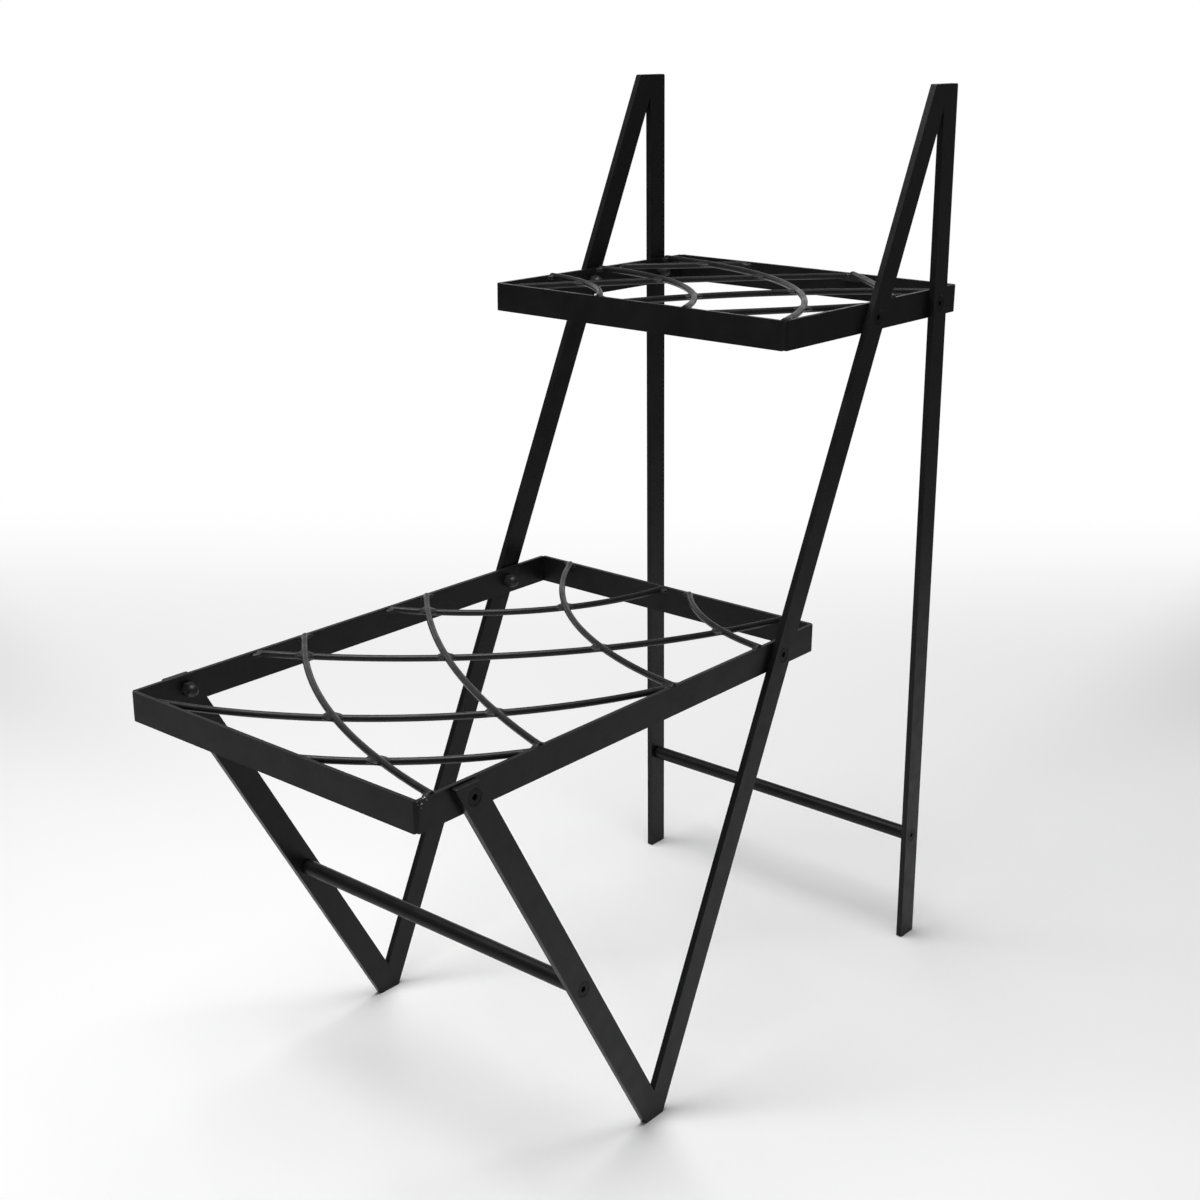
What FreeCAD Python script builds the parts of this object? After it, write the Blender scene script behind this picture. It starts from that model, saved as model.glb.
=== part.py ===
"""Plant stand: zigzag side frames of flat bar carry two band-edged trays with a lattice of bowed rods.

Millimetres, +Z up, front towards -Y. The origin is on the floor, under the middle of the stand.
While a piece is built, Y is its setback: the distance back from the front feet.
"""
import FreeCAD
import Part
import math
import os
from FreeCAD import Vector

# Flat bar of the side frames
LEG_WIDTH = 20.0
LEG_THICKNESS = 5.0
LEG_CORNER_RADIUS = 1.5

# Zigzag of each side frame, by the legs' centre lines
FRAME_HEIGHT = 742.5
FRONT_REACH = 195.8  # from the front foot forward to the front leg's top
FOOT_SPREAD = 2.2  # from the diagonal back to the front leg, on the floor
DIAGONAL_REACH = 339.5  # from the diagonal's foot back to its top
APEX_SPREAD = 12.1  # from the diagonal back to the rear leg, at the top
REAR_SPLAY = 20.3  # from the rear leg's top back to its foot
FRONT_LEG_DROP = 1.2  # from the lower tray's top edge down to the front leg's end

# Flat band of the trays
RAIL_HEIGHT = 22.0
RAIL_THICKNESS = 3.0
CORNER_RADIUS = 3.0  # each tray corner, seen from above
CORNER_TIP_RADIUS = 3.0  # the same corner's top and bottom, seen from the side

# Trays; an overhang is how far the tray goes on past the screw that holds it
TRAY_WIDTH = 282.0
LOWER_TRAY_TOP = 341.7
LOWER_FRONT_OVERHANG = 46.0
LOWER_REAR_OVERHANG = 48.5
UPPER_TRAY_DROP = 158.0  # from the top of the frames down to the upper tray's top edge
UPPER_FRONT_OVERHANG = 119.0
UPPER_REAR_OVERHANG = 34.5

# Lattice rods
ROD_DIAMETER = 5.0
LONG_ROD_PROUD = 0.25  # top of a long rod, above the rails
CROSS_ROD_RISE = 1.5  # cross rods, above the long rods that they are pressed into

# Each rod runs from one rail to another. A place is the share of the rail's inside length: from the left
# on the front and rear rails, from the front on the side rails. The bow is the rod's rise over its chord,
# as a share of the chord, to the right of the way from start to end.
LOWER_LONG_RODS = [
    ("front", 0.095, "right", 0.600, 0.119),
    ("left", 0.255, "rear", 0.905, 0.101),
    ("left", 0.572, "rear", 0.474, 0.132),
    ("front", 0.626, "right", 0.239, 0.064),
]
LOWER_CROSS_RODS = [
    ("left", 0.360, "right", 0.029, 0.071),
    ("left", 0.664, "right", 0.262, 0.057),
    ("rear", 0.113, "right", 0.594, 0.113),
    ("rear", 0.579, "right", 0.841, 0.094),
]
UPPER_LONG_RODS = [
    ("front", 0.464, "right", 0.859, -0.075),
    ("front", 0.050, "rear", 0.652, -0.032),
    ("left", 0.653, "rear", 0.254, 0.016),
    ("front", 0.760, "right", 0.439, 0.014),
]
UPPER_CROSS_RODS = [
    ("left", 0.261, "front", 0.373, -0.113),
    ("left", 0.523, "front", 0.677, -0.153),
    ("left", 0.907, "front", 1.000, -0.161),
    ("rear", 0.661, "right", 0.619, -0.023),
]

# Stretchers
STRETCHER_DIAMETER = 12.0
STRETCHER_CHAMFER = 0.8
FRONT_STRETCHER_HEIGHT = 148.0
REAR_STRETCHER_HEIGHT = 99.5

# Countersunk socket screws
SCREW_DIAMETER = 6.0
SCREW_TIP_CHAMFER = 0.8
HEAD_DIAMETER = 11.5
HEAD_RECESS = 0.2  # from the leg's face in to the top of the head
HEAD_LAND = 0.2  # straight rim of the head
SOCKET_WIDTH = 4.0
SOCKET_DEPTH = 2.2
HOLE_CLEARANCE = 0.3  # around a screw in a leg or rail
THREAD_CLEARANCE = 0.05  # around a screw in its nut or stretcher
TIP_CLEARANCE = 1.0  # past a screw's tip
STRETCHER_ENGAGEMENT = 14.0

# Dome nuts
NUT_ENGAGEMENT = 7.0
NUT_HEX_HEIGHT = 5.0
NUT_SIDE_WALL = 1.7  # of the dome, around the screw
NUT_END_WALL = 2.0  # of the dome, past the bore
NUT_SHOULDER = 0.3  # from the dome's side out to the hexagon's flats
NUT_ROD_CLEARANCE = 1.25  # from a nut up to the long rods

# Worked out from the sizes above
INNER_FACE = TRAY_WIDTH / 2  # of the legs, against the trays' sides
OUTER_FACE = INNER_FACE + LEG_THICKNESS
RAIL_FACE = INNER_FACE - RAIL_THICKNESS  # inside faces of the side rails
HEAD_CONE_START = HEAD_RECESS + HEAD_LAND
HEAD_CONE_END = HEAD_CONE_START + (HEAD_DIAMETER - SCREW_DIAMETER) / 2
HOLE_RADIUS = SCREW_DIAMETER / 2 + HOLE_CLEARANCE
THREAD_RADIUS = SCREW_DIAMETER / 2 + THREAD_CLEARANCE
DOME_RADIUS = SCREW_DIAMETER / 2 + NUT_SIDE_WALL
NUT_HALF_WIDTH = DOME_RADIUS + NUT_SHOULDER
ROD_RADIUS = ROD_DIAMETER / 2
SCREW_DROP = ROD_DIAMETER - LONG_ROD_PROUD + NUT_ROD_CLEARANCE + NUT_HALF_WIDTH  # below a tray's top edge
UP = Vector(0, 0, 1)
BACK = Vector(0, 1, 0)
INWARD = Vector(-1, 0, 0)  # from the right side frame to the middle


def rounded_outline(corners, x):
    """Closed wire in the plane at x through corners (setback, height, radius)."""
    count = len(corners)
    points = [Vector(x, y, z) for y, z, radius in corners]
    edges = []
    ends = []
    for i, (y, z, radius) in enumerate(corners):
        if radius == 0:
            ends.append((points[i], points[i]))
            continue
        to_last = (points[i - 1] - points[i]).normalize()
        to_next = (points[(i + 1) % count] - points[i]).normalize()
        half_angle = to_last.getAngle(to_next) / 2
        reach = radius / math.tan(half_angle)
        middle = (to_last + to_next).normalize() * (radius / math.sin(half_angle) - radius)
        arc_start = points[i] + to_last * reach
        arc_end = points[i] + to_next * reach
        edges.append(Part.Arc(arc_start, points[i] + middle, arc_end).toShape())
        ends.append((arc_start, arc_end))
    for i in range(count):
        edges.append(Part.LineSegment(ends[i][1], ends[(i + 1) % count][0]).toShape())
    return Part.Wire(Part.__sortEdges__(edges))


def polygon_face(points):
    return Part.Face(Part.makePolygon(points + points[:1]))


def turned(profile, y, z):
    """Solid turned about the inward line through (y, z), from points (radius, depth from the outer face)."""
    points = [Vector(OUTER_FACE - depth, y, z + radius) for radius, depth in profile]
    return polygon_face(points).revolve(Vector(0, y, z), INWARD, 360)


def plug(radius, start, end, y, z):
    """Round plug between two depths from the outer face."""
    return turned([(0, start), (radius, start), (radius, end), (0, end)], y, z)


def hexagon_bar(half_width, start, end, y, z):
    """Hexagonal bar between two depths from the outer face, with flats above and below."""
    corner_radius = half_width / math.cos(math.radians(30))
    corners = []
    for i in range(6):
        angle = math.radians(60 * i)
        across = corner_radius * math.cos(angle)
        above = corner_radius * math.sin(angle)
        corners.append(Vector(OUTER_FACE - start, y + across, z + above))
    return polygon_face(corners).extrude(INWARD * (end - start))


def mirrored(shape):
    """The same piece on the left side."""
    return shape.mirror(Vector(0, 0, 0), Vector(1, 0, 0))


def both_sides(solids):
    """A group of right-hand pieces and their left-hand twins."""
    return Part.makeCompound(solids + [mirrored(solid) for solid in solids])


class Leg:
    """Centre line of a flat-bar leg, seen from the side."""

    def __init__(self, foot, top, top_height):
        self.foot = foot
        self.slope = (top - foot) / top_height
        self.half_breadth = LEG_WIDTH / 2 * math.hypot(1, self.slope)

    def at(self, height, side=0):
        """Setback at a height: of the centre line, or of the front (-1) or back (1) edge."""
        return self.foot + self.slope * height + side * self.half_breadth


def inner_apex(ahead, behind):
    """Setback and height where the back edge of one leg meets the front edge of the leg behind it."""
    height = (ahead.at(0, 1) - behind.at(0, -1)) / (behind.slope - ahead.slope)
    return ahead.at(height, 1), height


def seam_end(apex, ahead, behind, height):
    """Setback at a height of the welded seam that halves the angle between two legs."""
    lean = (math.atan(ahead.slope) + math.atan(behind.slope)) / 2
    return apex[0] + math.tan(lean) * (height - apex[1])


def leg_solid(corners, holes):
    """Right-hand leg: a flat bar with countersunk holes at (setback, height)."""
    bar = Part.Face(rounded_outline(corners, INNER_FACE)).extrude(INWARD * -LEG_THICKNESS)
    mouth_radius = HEAD_DIAMETER / 2 + HEAD_CONE_START
    profile = [
        (0, 0),
        (mouth_radius, 0),
        (HOLE_RADIUS, mouth_radius - HOLE_RADIUS),
        (HOLE_RADIUS, LEG_THICKNESS),
        (0, LEG_THICKNESS),
    ]
    return bar.cut([turned(profile, y, z) for y, z in holes]).Solids[0]


def screw_solid(y, z, tip):
    """Countersunk socket screw at (y, z), whose tip lies that deep from the leg's outer face."""
    radius = SCREW_DIAMETER / 2
    profile = [
        (0, HEAD_RECESS),
        (HEAD_DIAMETER / 2, HEAD_RECESS),
        (HEAD_DIAMETER / 2, HEAD_CONE_START),
        (radius, HEAD_CONE_END),
        (radius, tip - SCREW_TIP_CHAMFER),
        (radius - SCREW_TIP_CHAMFER, tip),
        (0, tip),
    ]
    socket = hexagon_bar(SOCKET_WIDTH / 2, HEAD_RECESS, HEAD_RECESS + SOCKET_DEPTH, y, z)
    return turned(profile, y, z).cut(socket).Solids[0]


def dome_nut_solid(y, z):
    """Dome nut on the inside face of the right rail at (y, z)."""
    seat = LEG_THICKNESS + RAIL_THICKNESS
    hex_end = seat + NUT_HEX_HEIGHT
    bore_end = seat + NUT_ENGAGEMENT + TIP_CLEARANCE
    neck_end = bore_end + NUT_END_WALL - DOME_RADIUS
    # The corners of the hexagon are turned off at 30 degrees towards the dome
    corner_radius = NUT_HALF_WIDTH / math.cos(math.radians(30))
    turned_off = (corner_radius - NUT_HALF_WIDTH) * math.tan(math.radians(30))
    envelope = turned([
        (0, seat),
        (corner_radius, seat),
        (corner_radius, hex_end - turned_off),
        (NUT_HALF_WIDTH, hex_end),
        (0, hex_end),
    ], y, z)
    hexagon = hexagon_bar(NUT_HALF_WIDTH, seat, hex_end, y, z).common(envelope)
    neck = plug(DOME_RADIUS, seat, neck_end, y, z)
    dome = Part.makeSphere(DOME_RADIUS, Vector(OUTER_FACE - neck_end, y, z))
    bore = plug(THREAD_RADIUS, seat, bore_end, y, z)
    return hexagon.fuse([neck, dome]).removeSplitter().cut(bore).Solids[0]


def stretcher_solid(y, z):
    """Round bar between the legs, with a tapped hole in each end."""
    bar = Part.makeCylinder(STRETCHER_DIAMETER / 2, TRAY_WIDTH, Vector(INNER_FACE, y, z), INWARD)
    rims = [edge for edge in bar.Edges if isinstance(edge.Curve, Part.Circle)]
    hole = plug(THREAD_RADIUS, LEG_THICKNESS, LEG_THICKNESS + STRETCHER_ENGAGEMENT + TIP_CLEARANCE, y, z)
    return bar.makeChamfer(STRETCHER_CHAMFER, rims).cut([hole, mirrored(hole)]).Solids[0]


def box_rounded_along(direction, low, size, radius):
    """Box whose edges along one direction are rounded."""
    box = Part.makeBox(*size, low)
    edges = [edge for edge in box.Edges if abs(edge.tangentAt(edge.FirstParameter).dot(direction)) > 0.5]
    return box.makeFillet(radius, edges)


class Tray:
    """Mitred band of four rails with a lattice of bowed rods, held by screws to two legs on each side."""

    def __init__(self, top, front_leg, front_overhang, rear_leg, rear_overhang):
        self.top = top
        self.bottom = top - RAIL_HEIGHT
        screw_height = top - SCREW_DROP
        self.front_screw = (front_leg.at(screw_height), screw_height)
        self.rear_screw = (rear_leg.at(screw_height), screw_height)
        self.front = self.front_screw[0] - front_overhang
        self.rear = self.rear_screw[0] + rear_overhang
        self.inner_front = self.front + RAIL_THICKNESS
        self.inner_rear = self.rear - RAIL_THICKNESS

    def inside(self):
        """Space between the rails, and as far again below and above them."""
        low = Vector(-RAIL_FACE, self.inner_front, self.bottom - RAIL_HEIGHT)
        return Part.makeBox(2 * RAIL_FACE, self.inner_rear - self.inner_front, 3 * RAIL_HEIGHT, low)

    def rails(self):
        low = Vector(-INNER_FACE, self.front, self.bottom)
        size = (TRAY_WIDTH, self.rear - self.front, RAIL_HEIGHT)
        band = box_rounded_along(UP, low, size, CORNER_RADIUS).cut(self.inside())
        outer = {
            "front_left": Vector(-INNER_FACE, self.front, self.bottom),
            "front_right": Vector(INNER_FACE, self.front, self.bottom),
            "rear_right": Vector(INNER_FACE, self.rear, self.bottom),
            "rear_left": Vector(-INNER_FACE, self.rear, self.bottom),
        }
        inner = {
            "front_left": Vector(-RAIL_FACE, self.inner_front, self.bottom),
            "front_right": Vector(RAIL_FACE, self.inner_front, self.bottom),
            "rear_right": Vector(RAIL_FACE, self.inner_rear, self.bottom),
            "rear_left": Vector(-RAIL_FACE, self.inner_rear, self.bottom),
        }
        # The two corners where each rail ends, and the direction through its thickness
        corners = {
            "front_rail": ("front_left", "front_right", BACK),
            "right_rail": ("front_right", "rear_right", INWARD),
            "rear_rail": ("rear_right", "rear_left", BACK),
        }
        pieces = {}
        for name, (first, last, through) in corners.items():
            mitred = polygon_face([outer[first], outer[last], inner[last], inner[first]])
            rounded_tips = box_rounded_along(through, low, size, CORNER_TIP_RADIUS)
            pieces[name] = band.common(mitred.extrude(UP * RAIL_HEIGHT)).common(rounded_tips).Solids[0]
        holes = []
        for y, z in (self.front_screw, self.rear_screw):
            holes.append(plug(HOLE_RADIUS, LEG_THICKNESS, LEG_THICKNESS + RAIL_THICKNESS, y, z))
        pieces["right_rail"] = pieces["right_rail"].cut(holes).Solids[0]
        pieces["left_rail"] = mirrored(pieces["right_rail"])
        return pieces

    def rod_end(self, rail, share):
        """Point on the inside face of a rail, in plan."""
        across = (2 * share - 1) * RAIL_FACE
        back = self.inner_front + share * (self.inner_rear - self.inner_front)
        return {
            "front": Vector(across, self.inner_front, 0),
            "rear": Vector(across, self.inner_rear, 0),
            "left": Vector(-RAIL_FACE, back, 0),
            "right": Vector(RAIL_FACE, back, 0),
        }[rail]

    def rod(self, place, height):
        """Bowed rod at a centre height, trimmed to the inside faces of the rails."""
        start_rail, start_share, end_rail, end_share, bow = place
        start = self.rod_end(start_rail, start_share)
        end = self.rod_end(end_rail, end_share)
        chord = end - start
        along = Vector(chord).normalize()
        outward = along.cross(UP) * math.copysign(1, bow)
        rise = abs(bow) * chord.Length
        bend_radius = chord.Length ** 2 / (8 * rise) + rise / 2
        centre = (start + end) * 0.5 + outward * (rise - bend_radius) + UP * height
        # The rod is bent one diameter too long at each end, and then trimmed
        half_angle = math.asin(chord.Length / 2 / bend_radius) + ROD_DIAMETER / bend_radius
        first = centre + (outward * math.cos(half_angle) - along * math.sin(half_angle)) * bend_radius
        heading = along * math.cos(half_angle) + outward * math.sin(half_angle)
        section = Part.Face(Part.Wire(Part.makeCircle(ROD_RADIUS, first, heading)))
        bent = section.revolve(centre, outward.cross(along), math.degrees(2 * half_angle))
        return bent.common(self.inside()).Solids[0]

    def lattice(self, long_places, cross_places):
        """Rods by name. Each long rod has a saddle pressed into it under every cross rod that it meets."""
        long_height = self.top + LONG_ROD_PROUD - ROD_RADIUS
        cross_rods = [self.rod(place, long_height + CROSS_ROD_RISE) for place in cross_places]
        pieces = {f"cross_rod_{i}": rod for i, rod in enumerate(cross_rods, 1)}
        for i, place in enumerate(long_places, 1):
            saddled = self.rod(place, long_height).cut(cross_rods)
            # Where two rods end together, the sliver past the cross rod is left off
            pieces[f"long_rod_{i}"] = max(saddled.Solids, key=lambda solid: solid.Volume)
        return pieces

    def fasteners(self):
        tip = LEG_THICKNESS + RAIL_THICKNESS + NUT_ENGAGEMENT
        places = (self.front_screw, self.rear_screw)
        return {
            "screws": both_sides([screw_solid(y, z, tip) for y, z in places]),
            "dome_nuts": both_sides([dome_nut_solid(y, z) for y, z in places]),
        }


def main():
    os.makedirs("parts", exist_ok=True)
    diagonal_top = DIAGONAL_REACH - FOOT_SPREAD
    rear_top = diagonal_top + APEX_SPREAD
    front_leg = Leg(0, -FRONT_REACH, LOWER_TRAY_TOP)
    diagonal = Leg(-FOOT_SPREAD, diagonal_top, FRAME_HEIGHT)
    rear_leg = Leg(rear_top + REAR_SPLAY, rear_top, FRAME_HEIGHT)
    lower_tray = Tray(LOWER_TRAY_TOP, front_leg, LOWER_FRONT_OVERHANG, diagonal, LOWER_REAR_OVERHANG)
    upper_tray_top = FRAME_HEIGHT - UPPER_TRAY_DROP
    upper_tray = Tray(upper_tray_top, diagonal, UPPER_FRONT_OVERHANG, rear_leg, UPPER_REAR_OVERHANG)
    front_stretcher = (front_leg.at(FRONT_STRETCHER_HEIGHT), FRONT_STRETCHER_HEIGHT)
    rear_stretcher = (rear_leg.at(REAR_STRETCHER_HEIGHT), REAR_STRETCHER_HEIGHT)
    pieces = {}

    # Side frames: the legs of each pair are mitred along the line that halves their angle
    foot_apex = inner_apex(front_leg, diagonal)
    foot_seam = seam_end(foot_apex, front_leg, diagonal, 0)
    top_apex = inner_apex(diagonal, rear_leg)
    top_seam = seam_end(top_apex, diagonal, rear_leg, FRAME_HEIGHT)
    front_leg_top = LOWER_TRAY_TOP - FRONT_LEG_DROP
    radius = LEG_CORNER_RADIUS
    right_legs = {
        "front_leg": leg_solid([
            (front_leg.at(front_leg_top, -1), front_leg_top, radius),
            (front_leg.at(front_leg_top, 1), front_leg_top, radius),
            (*foot_apex, 0),
            (foot_seam, 0, 0),
            (front_leg.at(0, -1), 0, radius),
        ], [lower_tray.front_screw, front_stretcher]),
        "diagonal_leg": leg_solid([
            (foot_seam, 0, 0),
            (diagonal.at(0, 1), 0, radius),
            (*top_apex, 0),
            (top_seam, FRAME_HEIGHT, 0),
            (diagonal.at(FRAME_HEIGHT, -1), FRAME_HEIGHT, radius),
            (*foot_apex, 0),
        ], [lower_tray.rear_screw, upper_tray.front_screw]),
        "rear_leg": leg_solid([
            (rear_leg.at(0, -1), 0, radius),
            (rear_leg.at(0, 1), 0, radius),
            (rear_leg.at(FRAME_HEIGHT, 1), FRAME_HEIGHT, radius),
            (top_seam, FRAME_HEIGHT, 0),
            (*top_apex, 0),
        ], [upper_tray.rear_screw, rear_stretcher]),
    }
    for name, leg in right_legs.items():
        pieces[f"right_{name}"] = leg
        pieces[f"left_{name}"] = mirrored(leg)

    # Trays
    trays = {
        "lower_tray": (lower_tray, LOWER_LONG_RODS, LOWER_CROSS_RODS),
        "upper_tray": (upper_tray, UPPER_LONG_RODS, UPPER_CROSS_RODS),
    }
    for prefix, (tray, long_places, cross_places) in trays.items():
        for group in (tray.rails(), tray.lattice(long_places, cross_places), tray.fasteners()):
            for name, shape in group.items():
                pieces[f"{prefix}_{name}"] = shape

    # Stretchers
    stretchers = {"front_stretcher": front_stretcher, "rear_stretcher": rear_stretcher}
    for name, place in stretchers.items():
        pieces[name] = stretcher_solid(*place)
    tip = LEG_THICKNESS + STRETCHER_ENGAGEMENT
    pieces["stretcher_screws"] = both_sides([screw_solid(*place, tip) for place in stretchers.values()])

    # Every piece is moved so that the origin lies under the middle of the stand
    middle = (lower_tray.front + upper_tray.rear) / 2
    for name, shape in pieces.items():
        shape.translated(Vector(0, -middle, 0)).exportStep(f"parts/{name}.step")
    print(f"{len(pieces)} pieces, {sum(len(shape.Solids) for shape in pieces.values())} solids")


main()
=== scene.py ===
"""Looks of the plant stand: satin black powder coat, softened edges and smooth welds, on a pale floor."""
import bmesh
import bpy
import math
import numpy as np
from mathutils import Matrix, Vector
from mathutils.bvhtree import BVHTree


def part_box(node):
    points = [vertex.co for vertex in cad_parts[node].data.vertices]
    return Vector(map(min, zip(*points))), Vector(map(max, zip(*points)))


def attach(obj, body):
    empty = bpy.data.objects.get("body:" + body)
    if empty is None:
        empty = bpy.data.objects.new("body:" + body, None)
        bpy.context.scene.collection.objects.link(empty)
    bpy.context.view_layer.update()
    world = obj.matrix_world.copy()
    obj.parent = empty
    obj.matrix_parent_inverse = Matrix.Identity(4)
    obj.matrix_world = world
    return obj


# Coats of powder paint: mean shade, roughness, gloss and strength of the orange peel, from 0 to 1
FRAME_COAT = {"shade": 0.007, "roughness": 0.37, "gloss": 0.165, "peel": 0.25}
RAIL_COAT = {"shade": 0.0075, "roughness": 0.36, "gloss": 0.165, "peel": 0.25}
ROD_COAT = {"shade": 0.010, "roughness": 0.36, "gloss": 0.27, "peel": 0.25}
WELD_COAT = {"shade": 0.010, "roughness": 0.43, "gloss": 0.22, "peel": 0.4}
SCREW_COAT = {"shade": 0.008, "roughness": 0.40, "gloss": 0.11, "peel": 0.12}
NUT_COAT = {"shade": 0.010, "roughness": 0.46, "gloss": 0.3, "peel": 0.12}

# Patterns in the coats: features per metre, and steps of finer detail
CLOUDS = (38, 3)
DUST_PATCHES = (110, 4)
GLOSS_PATCHES = (75, 4)
ORANGE_PEEL = (700, 2)
POWDER_GRAIN = (2600, 2)
CHIPS = (420, 1)

# How the patterns show; their levels run from 0 to 1
CLOUD_LEVELS = (0.35, 0.65)  # from dark to light
DARK_CLOUD = (0.85, 0.85, 0.87)  # red, green and blue, times the mean shade
LIGHT_CLOUD = (1.15, 1.15, 1.16)
DUST_LEVELS = (0.4, 0.7)  # from least to most
DUST_SHARES = (0.2, 1)  # of the dust, outside its patches and in them
DUST_FACING = (0.55, 1.0)  # upward part of the surface's direction, from no dust to all of it
DUST_COVER = 0.35  # the most that dust hides of the paint's colour
DUST_COLOUR = (2.2, 2.15, 2.1)  # times the mean shade
GLOSS_LEVELS = (0.3, 0.7)  # from smoothest to roughest
GLOSS_SPREAD = (-0.05, 0.07)  # of the roughness, about its named value
PEEL_DEPTH = 0.0002  # metres
GRAIN_DEPTH = 0.00006  # metres

# Chipped paint at the lower tray's front right corner, in metres
CHIP_OFFSET = Vector((0, 0.0065, -0.0015))  # from the corner's top to the middle of the chips
CHIP_REACH = (0.0025, 0.0055)  # from all the chips to none
CHIP_LEVELS = (0.62, 0.65)  # of their pattern, from paint to primer
PRIMER = (0.55, 0.55, 0.54)

# Softened edges of the bar, band and fasteners, in metres
LEG_EDGE = 0.0005
RAIL_EDGE = 0.0004
FASTENER_EDGE = 0.00015
EDGE_SEGMENTS = 3
SHARP_ANGLE = 50.0  # degrees; blunter edges, such as a countersink's mouth, stay as they are
MERGE_DISTANCE = 0.000001

# Welds of the lattice, in metres
WELD_REACH = 0.009  # along each rod
WELD_SINK = 0.0001  # of a weld's plate, behind the rail's face
WELD_SWELL = 0.00003  # of a crossing's bars, which the smoothing draws in again
WELD_MARGIN = 0.0003  # from a tray's outside in to its welds
CROSSING_WEB = 0.0045  # into the corners between two rods
CROSSING_GAP = 0.001  # the most between two centre lines that cross, in plan
END_SWELL = 0.00012  # of an end's bar, which covers the rod's cut end
END_OVERLAP = 0.0014  # of an end's bar, past the rail's inside face
END_WEB = 0.0038  # past a rod's sides, along the rail
END_WEB_DEPTH = 0.8 * END_WEB  # from the web's middle into the tray
END_WEB_SHIFT = END_WEB / 3  # from the rail's face to the web's middle
END_WEB_DROP = 0.0005  # from a rod's centre line down to the web's middle
WEB_RISE = 0.7  # of a web above its middle, in rod radii
LEAST_SLANT = 0.4  # sine of the least angle between rod and rail that an end's web is lengthened for
PLATE_LENGTH = 1.5  # of an end's plate along the rail, in lengths of the web
PLATE_DEPTH = 0.5  # into the rail, in rod radii
PLATE_DROP = 2.0  # below a rod's centre line, in rod radii
PLATE_MARGIN = 4 * WELD_SINK  # from the rail's top down to the plate
BAR_SIDES = 24
WEB_SUBDIVISIONS = 3

# How the welds' forms run together
WELD_GRAIN = 0.0005  # metres
WELD_SMOOTHING = 24  # rounds
WELD_SMOOTHING_SHARE = 0.5  # of the way to the neighbours' middle, in each round
WELD_KEPT_FACES = 0.3  # share of the smoothed faces

# Ground welds along the mitred seams, in metres
SEAM_RADIUS = 0.0006
SEAM_PROUD = 0.00004  # above the faces that meet
SEAM_CONTACT = 0.00002  # the most between two points that touch
SEAM_DECIMALS = 6  # of a metre, to which points that touch are the same
SEAM_SEGMENTS = 3

# Reading of a rod's centre line from its mesh
CREST_DEPTH = 0.00002  # metres below a rod's highest points
BEND_DEGREE = 6  # of the polynomial that follows a rod's bow
LINE_STEPS = 800
HEADING_STEPS = 5  # to each side of a point

# Camera, in metres and degrees, for a frame of 1200 by 1200 pixels
CAMERA_PLACE = Vector((0.8414, -0.9841, 0.7897))
CAMERA_AZIMUTH = 39.697
CAMERA_ELEVATION = 18.319
CAMERA_ROLL = 0.38
CAMERA_CLIP = 0.01  # nearest that it sees
FRAME_PIXELS = 1200
FOCAL_PIXELS = 1762.6
SENSOR_MM = 36.0

# Studio, in metres, watts and colours from 0 to 1
WHITE = (1, 1, 1)
ROOM_COLOUR = (0.14, 0.14, 0.14)
FLOOR_COLOUR = (0.92, 0.92, 0.92)
FLOOR_ROUGHNESS = 0.9
FLOOR_REACH = 40.0  # from the middle to each side
FLOOR_FADE = (0.3, 1.6)  # into the white end of the room, behind the stand
ROOM_FADE = (0.8, 2.1)  # into the rest of the room, all round
ROOM_MIDDLE = (0, 0, 0)  # on the floor, under the stand
END_SLOPES = (1.45, 0.7)  # sideways for each metre along the camera's line, from outside an end to inside it
END_TOP = (0.22, 0.42)  # sine of the view's rise, from inside an end to above it
ENDS_MEET = (-0.1, 0.1)  # along the camera's line, from the near end to the far one
NEAR_END_WHITE = 0.38  # behind the camera; the end behind the stand is all white
SOFTBOX_PLACE = Vector((-0.16, -0.28, 2.2))
SOFTBOX_TARGET = Vector((0, 0, 0.3))
SOFTBOX_SIDE = 1.46
SOFTBOX_WATTS = 52.5


def noise(tree, place, scale, detail):
    """Pattern of soft noise, from 0 to 1."""
    node = tree.nodes.new("ShaderNodeTexNoise")
    node.inputs["Scale"].default_value = scale
    node.inputs["Detail"].default_value = detail
    tree.links.new(place, node.inputs["Vector"])
    return node.outputs["Fac"]


def faded(tree, value, low, high, start=0, end=1):
    """One amount at low, another at high and smooth between."""
    node = tree.nodes.new("ShaderNodeMapRange")
    node.interpolation_type = "SMOOTHSTEP"
    node.inputs["From Min"].default_value = low
    node.inputs["From Max"].default_value = high
    node.inputs["To Min"].default_value = start
    node.inputs["To Max"].default_value = end
    tree.links.new(value, node.inputs["Value"])
    return node.outputs["Result"]


def blended(tree, factor, first, second):
    """Mix of two colours, each from a node or fixed."""
    node = tree.nodes.new("ShaderNodeMix")
    node.data_type = "RGBA"
    tree.links.new(factor, node.inputs["Factor"])
    for socket, colour in ((node.inputs["A"], first), (node.inputs["B"], second)):
        if isinstance(colour, tuple):
            socket.default_value = (*colour, 1)
        else:
            tree.links.new(colour, socket)
    return node.outputs["Result"]


def calculated(tree, operation, *values):
    """Result of arithmetic on one or two values."""
    node = tree.nodes.new("ShaderNodeMath")
    node.operation = operation
    for value, socket in zip(values, node.inputs):
        tree.links.new(value, socket)
    return node.outputs["Value"]


def measured(tree, operation, place, fixed):
    """Number worked out from a place and a fixed vector."""
    node = tree.nodes.new("ShaderNodeVectorMath")
    node.operation = operation
    node.inputs[1].default_value = fixed
    tree.links.new(place, node.inputs[0])
    return node.outputs["Value"]


def upward(tree, direction):
    """Upward part of a direction."""
    node = tree.nodes.new("ShaderNodeSeparateXYZ")
    tree.links.new(direction, node.inputs["Vector"])
    return node.outputs["Z"]


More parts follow.
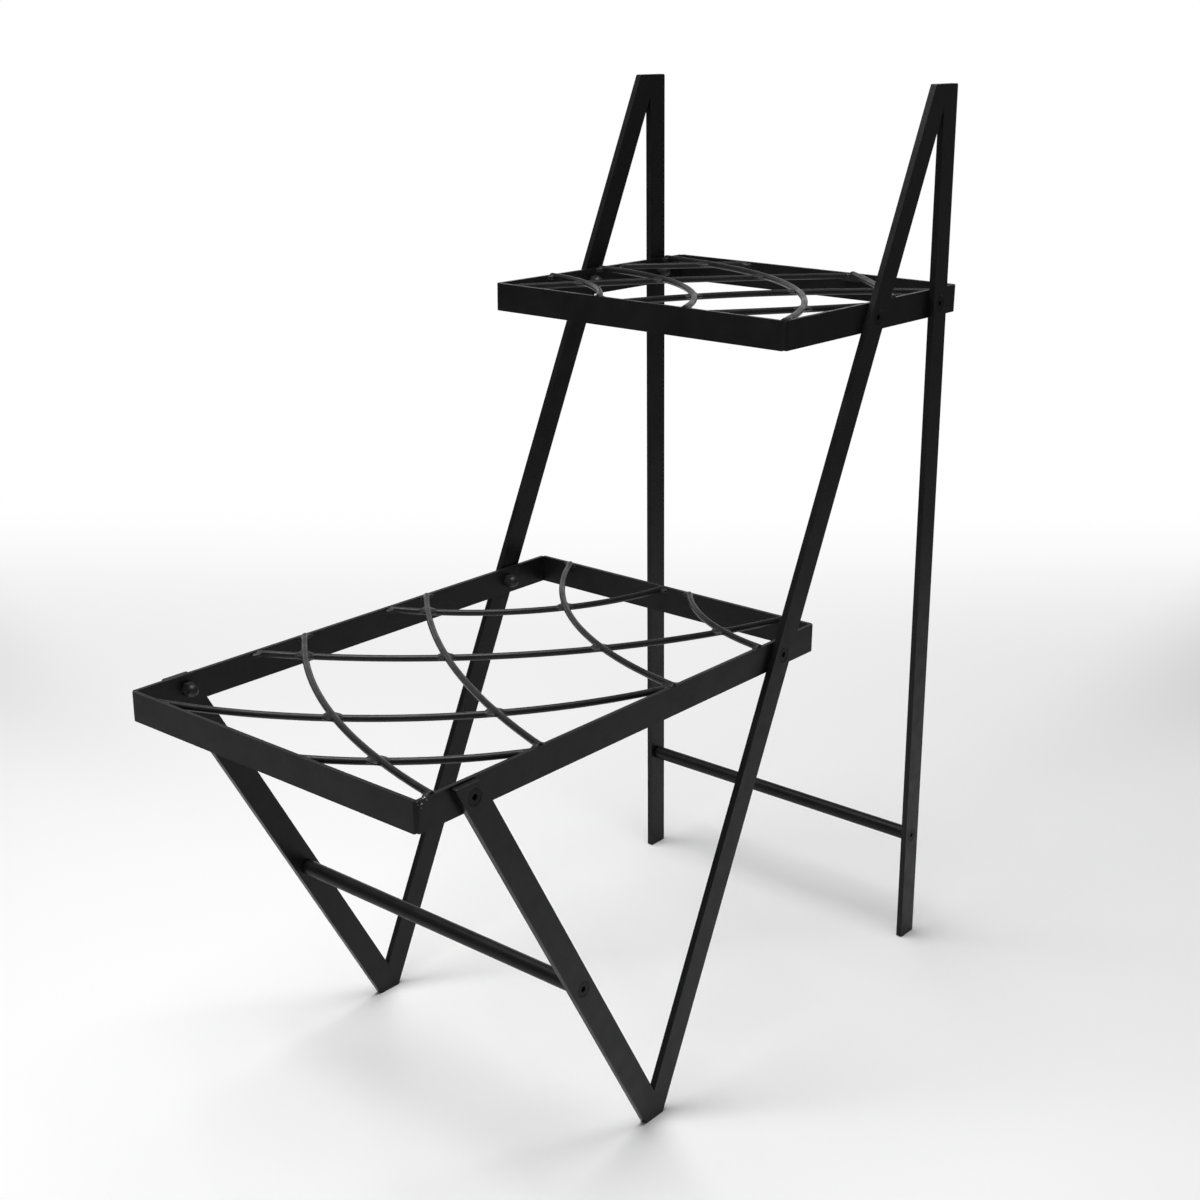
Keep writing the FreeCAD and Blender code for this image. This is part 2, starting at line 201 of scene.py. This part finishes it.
def bumped(tree, pattern, strength, depth, under=None):
    """Direction of a surface that a pattern raises by up to a depth, over another bump if there is one."""
    node = tree.nodes.new("ShaderNodeBump")
    node.inputs["Strength"].default_value = strength
    node.inputs["Distance"].default_value = depth
    tree.links.new(pattern, node.inputs["Height"])
    if under is not None:
        tree.links.new(under, node.inputs["Normal"])
    return node.outputs["Normal"]


def tinted(shade, factors):
    """Red, green and blue of a shade times three factors."""
    return tuple(shade * factor for factor in factors)


def paint(name, shade, roughness, gloss, peel, chipped=None):
    """Satin powder coat: clouded black, orange peel, fine grain, uneven gloss and faint dust on top.

    Near a chipped place, flecks of the pale primer show.
    """
    material = bpy.data.materials.new(name)
    material.use_nodes = True
    tree = material.node_tree
    shader = tree.nodes["Principled BSDF"]
    shader.inputs["Specular IOR Level"].default_value = gloss
    place = tree.nodes.new("ShaderNodeTexCoord").outputs["Object"]

    # Two close blacks in soft clouds
    clouds = faded(tree, noise(tree, place, *CLOUDS), *CLOUD_LEVELS)
    colour = blended(tree, clouds, tinted(shade, DARK_CLOUD), tinted(shade, LIGHT_CLOUD))

    # A little dust on what faces up, in patches
    facing = upward(tree, tree.nodes.new("ShaderNodeNewGeometry").outputs["Normal"])
    cover = faded(tree, facing, *DUST_FACING, 0, DUST_COVER)
    patches = faded(tree, noise(tree, place, *DUST_PATCHES), *DUST_LEVELS, *DUST_SHARES)
    dust = calculated(tree, "MULTIPLY", cover, patches)
    colour = blended(tree, dust, colour, tinted(shade, DUST_COLOUR))

    if chipped is not None:
        near = faded(tree, measured(tree, "DISTANCE", place, chipped), *CHIP_REACH, 1, 0)
        chips = faded(tree, noise(tree, place, *CHIPS), *CHIP_LEVELS)
        colour = blended(tree, calculated(tree, "MULTIPLY", near, chips), colour, PRIMER)
    tree.links.new(colour, shader.inputs["Base Color"])

    # Gloss that varies over the coat
    smoothest, roughest = (roughness + change for change in GLOSS_SPREAD)
    uneven = faded(tree, noise(tree, place, *GLOSS_PATCHES), *GLOSS_LEVELS, smoothest, roughest)
    tree.links.new(uneven, shader.inputs["Roughness"])

    # Orange peel and, finer, the grain of the powder
    coarse = bumped(tree, noise(tree, place, *ORANGE_PEEL), peel, PEEL_DEPTH)
    fine = bumped(tree, noise(tree, place, *POWDER_GRAIN), peel, GRAIN_DEPTH, coarse)
    tree.links.new(fine, shader.inputs["Normal"])
    return material


def placed(name, data):
    """New object in the scene."""
    obj = bpy.data.objects.new(name, data)
    bpy.context.scene.collection.objects.link(obj)
    return obj


def camera():
    """Camera at the photograph's angle, with a little roll."""
    azimuth = math.radians(CAMERA_AZIMUTH)
    elevation = math.radians(CAMERA_ELEVATION)
    back = Vector((
        math.sin(azimuth) * math.cos(elevation),
        -math.cos(azimuth) * math.cos(elevation),
        math.sin(elevation),
    ))
    right = Vector((math.cos(azimuth), math.sin(azimuth), 0))
    turn = Matrix((right, back.cross(right), back)).transposed().to_4x4()
    roll = Matrix.Rotation(math.radians(CAMERA_ROLL), 4, "Z")
    data = bpy.data.cameras.new("camera")
    data.sensor_fit = "HORIZONTAL"
    data.sensor_width = SENSOR_MM
    data.lens = FOCAL_PIXELS / FRAME_PIXELS * SENSOR_MM
    data.clip_start = CAMERA_CLIP
    obj = placed("camera", data)
    obj.matrix_world = Matrix.Translation(CAMERA_PLACE) @ turn @ roll
    bpy.context.scene.camera = obj


def seen(tree):
    """1 for rays from the camera, and for those that a gloss or a glass sends on."""
    rays = tree.nodes.new("ShaderNodeLightPath")
    either = rays.outputs["Is Camera Ray"]
    for ray in ("Is Glossy Ray", "Is Transmission Ray"):
        either = calculated(tree, "MAXIMUM", either, rays.outputs[ray])
    return either


def room_end(tree, place):
    """How far a place lies along the camera's line, and how much of an end of the room it is.

    The two ends are wedges that open from the stand along the camera's line, one on each side.
    """
    azimuth = math.radians(CAMERA_AZIMUTH)
    along = measured(tree, "DOT_PRODUCT", place, (-math.sin(azimuth), math.cos(azimuth), 0))
    sideways = measured(tree, "DOT_PRODUCT", place, (math.cos(azimuth), math.sin(azimuth), 0))
    slope = calculated(tree, "ABSOLUTE", calculated(tree, "DIVIDE", sideways, along))
    return along, faded(tree, slope, *END_SLOPES)


def whiteness(tree, along, amount):
    """How white the room is at a place: all white at the end behind the stand, less so behind the camera."""
    return calculated(tree, "MULTIPLY", amount, faded(tree, along, *ENDS_MEET, NEAR_END_WHITE, 1))


def show_instead(tree, usual, shown, amount):
    """Shows one surface instead of the usual one, by the amount, to the rays that see the background."""
    mix = tree.nodes.new("ShaderNodeMixShader")
    tree.links.new(calculated(tree, "MULTIPLY", seen(tree), amount), mix.inputs["Fac"])
    tree.links.new(usual, mix.inputs[1])
    tree.links.new(shown, mix.inputs[2])
    return mix.outputs["Shader"]


def room():
    """Grey room all round, white behind the stand and paler behind the camera."""
    world = bpy.data.worlds.new("studio")
    bpy.context.scene.world = world
    world.use_nodes = True
    tree = world.node_tree
    grey = tree.nodes["Background"]
    grey.inputs["Color"].default_value = (*ROOM_COLOUR, 1)
    white = tree.nodes.new("ShaderNodeBackground")
    white.inputs["Color"].default_value = (*WHITE, 1)
    direction = tree.nodes.new("ShaderNodeTexCoord").outputs["Generated"]
    under_top = faded(tree, upward(tree, direction), *END_TOP, 1, 0)
    amount = calculated(tree, "MULTIPLY", whiteness(tree, *room_end(tree, direction)), under_top)
    surface = show_instead(tree, grey.outputs["Background"], white.outputs["Background"], amount)
    tree.links.new(surface, tree.nodes["World Output"].inputs["Surface"])


def floor_paint():
    """Matt and pale near the stand, and fading into the room further off."""
    material = bpy.data.materials.new("floor")
    material.use_nodes = True
    tree = material.node_tree
    shader = tree.nodes["Principled BSDF"]
    shader.inputs["Base Color"].default_value = (*FLOOR_COLOUR, 1)
    shader.inputs["Roughness"].default_value = FLOOR_ROUGHNESS
    shader.inputs["Specular IOR Level"].default_value = 0
    place = tree.nodes.new("ShaderNodeTexCoord").outputs["Object"]
    along, amount = room_end(tree, place)
    far = tree.nodes.new("ShaderNodeEmission")
    tree.links.new(blended(tree, whiteness(tree, along, amount), ROOM_COLOUR, WHITE), far.inputs["Color"])
    behind = calculated(tree, "MULTIPLY", amount, faded(tree, along, *FLOOR_FADE))
    around = faded(tree, measured(tree, "DISTANCE", place, ROOM_MIDDLE), *ROOM_FADE)
    gone = calculated(tree, "MAXIMUM", behind, around)
    surface = show_instead(tree, shader.outputs["BSDF"], far.outputs["Emission"], gone)
    tree.links.new(surface, tree.nodes["Material Output"].inputs["Surface"])
    return material


def level_floor():
    """Square floor under the stand, out to where it can't be told from the room."""
    mesh = bpy.data.meshes.new("floor")
    signs = ((-1, -1), (1, -1), (1, 1), (-1, 1))
    corners = [(x * FLOOR_REACH, y * FLOOR_REACH, 0) for x, y in signs]
    mesh.from_pydata(corners, [], [(0, 1, 2, 3)])
    mesh.materials.append(floor_paint())
    floor = placed("floor", mesh)


def softbox():
    """One large square light overhead."""
    data = bpy.data.lights.new("overhead", "AREA")
    data.shape = "SQUARE"
    data.size = SOFTBOX_SIDE
    data.energy = SOFTBOX_WATTS
    turn = (SOFTBOX_TARGET - SOFTBOX_PLACE).to_track_quat("-Z", "Y").to_matrix().to_4x4()
    obj = placed("overhead", data)
    obj.matrix_world = Matrix.Translation(SOFTBOX_PLACE) @ turn


def soften(node, width):
    """Rounds the sharp edges of a CAD node with modifiers alone."""
    weld = node.modifiers.new("joined", "WELD")
    weld.merge_threshold = MERGE_DISTANCE
    bevel = node.modifiers.new("softened", "BEVEL")
    bevel.width = width
    bevel.segments = EDGE_SEGMENTS
    bevel.limit_method = "ANGLE"
    bevel.angle_limit = math.radians(SHARP_ANGLE)
    bevel.harden_normals = True


def coats():
    """Every coat of the stand, by the kind of piece that wears it."""
    low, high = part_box("lower_tray_front_rail")
    corner = Vector((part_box("lower_tray_right_rail")[1].x, low.y, high.z))
    return {
        "frame": paint("frame_paint_coat", **FRAME_COAT),
        "rail": paint("tray_paint_rail_coat", **RAIL_COAT, chipped=corner + CHIP_OFFSET),
        "rod": paint("tray_paint_rod_coat", **ROD_COAT),
        "weld": paint("tray_paint_weld_coat", **WELD_COAT),
        "screw": paint("fastener_black_screw_coat", **SCREW_COAT),
        "nut": paint("fastener_black_nut_coat", **NUT_COAT),
    }


def dress(nodes, coat_of):
    """Paints and softens the CAD nodes."""
    for name, node in nodes.items():
        if name.endswith("_leg"):
            kind = "frame"
            soften(node, LEG_EDGE)
        elif name.endswith("_stretcher"):
            kind = "frame"
        elif name.endswith("_rail"):
            kind = "rail"
            soften(node, RAIL_EDGE)
        elif "_rod_" in name:
            kind = "rod"
        else:
            kind = "screw" if name.endswith("_screws") else "nut"
            soften(node, FASTENER_EDGE)
        for slot in node.material_slots:
            slot.material = coat_of[kind]


def add_piece(name, mesh, coat):
    """Adds a piece to the stand, smooth-shaded and painted."""
    for polygon in mesh.polygons:
        polygon.use_smooth = True
    mesh.materials.append(coat)
    piece = placed(name, mesh)
    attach(piece, "root")


def centre_line(name, mesh):
    """Points along a rod's centre line, read from the crest of its mesh, and the rod's radius."""
    low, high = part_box(name)
    radius = (high.z - low.z) / 2
    crest = np.array([vertex.co[:2] for vertex in mesh.vertices if vertex.co.z > high.z - CREST_DEPTH])
    middle = crest.mean(axis=0)
    along = np.linalg.svd(crest - middle, full_matrices=False)[2][0]
    across = np.array((-along[1], along[0]))
    distances = (crest - middle) @ along
    bend = np.polynomial.Polynomial.fit(distances, (crest - middle) @ across, BEND_DEGREE)
    steps = np.linspace(distances.min(), distances.max(), LINE_STEPS)
    plan = middle + np.outer(steps, along) + np.outer(bend(steps), across)
    return np.column_stack((plan, np.full(LINE_STEPS, high.z - radius))), radius


def heading(line, index):
    """Direction of a centre line at one of its points."""
    near = line[max(index - HEADING_STEPS, 0):index + HEADING_STEPS + 1]
    return Vector(near[-1] - near[0]).normalized()


def add_bar(form, middle, direction, radius, length):
    """Round bar in a weld's form."""
    turn = direction.to_track_quat("Z", "Y").to_matrix().to_4x4()
    bmesh.ops.create_cone(
        form, cap_ends=True, segments=BAR_SIDES, radius1=radius, radius2=radius, depth=length,
        matrix=Matrix.Translation(middle) @ turn,
    )


def add_web(form, middle, direction, half_sizes):
    """Rounded lump in a weld's form, level and turned along a direction in plan."""
    turn = Matrix.Rotation(math.atan2(direction.y, direction.x), 4, "Z")
    bmesh.ops.create_icosphere(
        form, subdivisions=WEB_SUBDIVISIONS, radius=1,
        matrix=Matrix.Translation(middle) @ turn @ Matrix.Diagonal((*half_sizes, 1)),
    )


def add_plate(form, low, high):
    """Box in a weld's form."""
    middle = (low + high) / 2
    size = high - low
    bmesh.ops.create_cube(form, size=1, matrix=Matrix.Translation(middle) @ Matrix.Diagonal((*size, 1)))


def crossing_weld(form, first, second, radius):
    """Weld where two rods cross, or nothing where they don't."""
    gaps = np.linalg.norm(first[:, None, :2] - second[None, :, :2], axis=2)
    i, j = np.unravel_index(gaps.argmin(), gaps.shape)
    if gaps[i, j] > CROSSING_GAP:
        return
    places = Vector(first[i]), Vector(second[j])
    directions = heading(first, i), heading(second, j)
    for place, direction in zip(places, directions):
        add_bar(form, place, direction, radius + WELD_SWELL, 2 * WELD_REACH)
    if directions[0].dot(directions[1]) < 0:
        directions[1].negate()
    bisector = (directions[0] + directions[1]).normalized()
    half_angle = bisector.angle(directions[0])
    half_sizes = (
        radius / math.sin(half_angle) + CROSSING_WEB,
        radius / math.cos(half_angle) + CROSSING_WEB,
        WEB_RISE * radius,
    )
    add_web(form, (places[0] + places[1]) / 2, bisector, half_sizes)


def facing_of_nearest_rail(place, tray):
    """Direction that the inside of a tray's nearest rail faces in."""
    left, right, front, rear = (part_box(f"{tray}_{side}_rail") for side in ("left", "right", "front", "rear"))
    faces = (
        (place.x - left[1].x, Vector((1, 0, 0))),
        (right[0].x - place.x, Vector((-1, 0, 0))),
        (place.y - front[1].y, Vector((0, 1, 0))),
        (rear[0].y - place.y, Vector((0, -1, 0))),
    )
    return min(faces, key=lambda face: abs(face[0]))[1]


def end_weld(form, line, index, radius, tray):
    """Weld where a rod ends on the inside face of a rail."""
    end = Vector(line[index])
    inward = heading(line, index) * (1 if index == 0 else -1)
    length = WELD_REACH + END_OVERLAP
    add_bar(form, end + inward * (length / 2 - END_OVERLAP), inward, radius + END_SWELL, length)

    normal = facing_of_nearest_rail(end, tray)
    along = Vector((-normal.y, normal.x, 0))
    half_length = radius / max(abs(inward.dot(normal)), LEAST_SLANT) + END_WEB
    middle = end + normal * END_WEB_SHIFT - Vector((0, 0, END_WEB_DROP))
    add_web(form, middle, along, (half_length, END_WEB_DEPTH, WEB_RISE * radius))

    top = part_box(f"{tray}_front_rail")[1].z - PLATE_MARGIN
    behind = end - normal * radius * PLATE_DEPTH
    low = Vector((behind.x, behind.y, end.z - PLATE_DROP * radius))
    high = Vector((end.x, end.y, top)) - normal * WELD_SINK
    reach = along * PLATE_LENGTH * half_length
    corners = [low - reach, low + reach, high - reach, high + reach]
    add_plate(form, Vector(map(min, *corners)), Vector(map(max, *corners)))


def keep_inside(form, low, high):
    """Flattens a weld's form where it would come out of a tray's sides, front or rear."""
    for vertex in form.verts:
        for axis in (0, 1):
            lowest = low[axis] + WELD_MARGIN
            highest = high[axis] - WELD_MARGIN
            vertex.co[axis] = min(max(vertex.co[axis], lowest), highest)


def flowed(form, name):
    """Mesh of a weld's form, run together and smoothed as molten metal is."""
    rough = bpy.data.meshes.new(f"{name}_form")
    form.to_mesh(rough)
    form.free()
    holder = placed(f"{name}_form", rough)
    remesh = holder.modifiers.new("run_together", "REMESH")
    remesh.mode = "VOXEL"
    remesh.voxel_size = WELD_GRAIN
    smooth = holder.modifiers.new("smoothed", "SMOOTH")
    smooth.factor = WELD_SMOOTHING_SHARE
    smooth.iterations = WELD_SMOOTHING
    thinned = holder.modifiers.new("thinned", "DECIMATE")
    thinned.ratio = WELD_KEPT_FACES
    evaluated = holder.evaluated_get(bpy.context.evaluated_depsgraph_get())
    mesh = bpy.data.meshes.new_from_object(evaluated)
    mesh.name = name
    bpy.data.objects.remove(holder)
    bpy.data.meshes.remove(rough)
    return mesh


def lattice_welds(nodes, tray, coat):
    """Welds at every crossing and end of a tray's rods."""
    lines = {}
    for way in ("long", "cross"):
        names = sorted(name for name in nodes if name.startswith(f"{tray}_{way}_rod_"))
        lines[way] = [centre_line(name, nodes[name].data) for name in names]
    form = bmesh.new()
    for first, radius in lines["long"]:
        for second, _ in lines["cross"]:
            crossing_weld(form, first, second, radius)
    for line, radius in lines["long"] + lines["cross"]:
        for index in (0, LINE_STEPS - 1):
            end_weld(form, line, index, radius, tray)
    keep_inside(form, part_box(f"{tray}_left_rail")[0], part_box(f"{tray}_right_rail")[1])
    name = f"{tray}_rod_welds"
    add_piece(name, flowed(form, name), coat)


def inset_outline(points, inset):
    """Corners of a convex outline, moved inward by the inset."""
    moved = []
    count = len(points)
    for i in range(count):
        before = points[i] - points[i - 1]
        after = points[(i + 1) % count] - points[i]
        normals = [np.array((-side[1], side[0])) / np.linalg.norm(side) for side in (before, after)]
        middle = normals[0] + normals[1]
        moved.append(points[i] + middle * inset / (middle @ normals[0]))
    return moved


def seam_loop(first, second):
    """Outline of the face that two mitred meshes share, in order, a little inside the surface."""
    tree = BVHTree.FromPolygons(
        [vertex.co for vertex in second.vertices],
        [polygon.vertices for polygon in second.polygons],
    )
    shared = [vertex.co for vertex in first.vertices if tree.find_nearest(vertex.co)[3] < SEAM_CONTACT]
    points = np.unique(np.round(np.array(shared), SEAM_DECIMALS), axis=0)
    middle = points.mean(axis=0)
    flat = np.linalg.svd(points - middle, full_matrices=False)[2][:2]
    plane = (points - middle) @ flat.T
    plane = plane[np.argsort(np.arctan2(plane[:, 1], plane[:, 0]))]
    return [Vector(middle + point @ flat) for point in inset_outline(plane, SEAM_RADIUS - SEAM_PROUD)]


def seam_welds(nodes, name, pairs, coat):
    """Ground welds around the shared faces of mitred nodes."""
    data = bpy.data.curves.new(f"{name}_line", "CURVE")
    data.dimensions = "3D"
    data.bevel_depth = SEAM_RADIUS
    data.bevel_resolution = SEAM_SEGMENTS
    for first, second in pairs:
        loop = seam_loop(nodes[first].data, nodes[second].data)
        spline = data.splines.new("POLY")
        spline.points.add(len(loop) - 1)
        for point, place in zip(spline.points, loop):
            point.co = (*place, 1)
        spline.use_cyclic_u = True
    holder = bpy.data.objects.new(f"{name}_line", data)
    mesh = bpy.data.meshes.new_from_object(holder)
    mesh.name = name
    bpy.data.objects.remove(holder)
    bpy.data.curves.remove(data)
    add_piece(name, mesh, coat)


def welds(nodes, coat_of):
    """Every weld of the stand."""
    for tray in ("lower_tray", "upper_tray"):
        lattice_welds(nodes, tray, coat_of["weld"])
        rails = [f"{tray}_{side}_rail" for side in ("front", "right", "rear", "left")]
        corners = list(zip(rails, rails[1:] + rails[:1]))
        seam_welds(nodes, f"{tray}_corner_welds", corners, coat_of["rail"])
    for side in ("left", "right"):
        legs = [f"{side}_{leg}_leg" for leg in ("front", "diagonal", "rear")]
        apexes = list(zip(legs, legs[1:]))
        seam_welds(nodes, f"{side}_frame_welds", apexes, coat_of["frame"])


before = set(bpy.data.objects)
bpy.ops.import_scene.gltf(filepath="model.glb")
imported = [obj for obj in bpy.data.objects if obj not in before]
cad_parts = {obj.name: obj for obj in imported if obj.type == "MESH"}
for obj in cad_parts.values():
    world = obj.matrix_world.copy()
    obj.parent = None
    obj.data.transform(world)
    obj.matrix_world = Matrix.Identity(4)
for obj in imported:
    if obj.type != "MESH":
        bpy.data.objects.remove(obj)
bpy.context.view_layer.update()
bpy.context.scene.view_settings.view_transform = "Standard"
camera()
room()
level_floor()
softbox()
coat_of = coats()
dress(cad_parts, coat_of)
welds(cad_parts, coat_of)
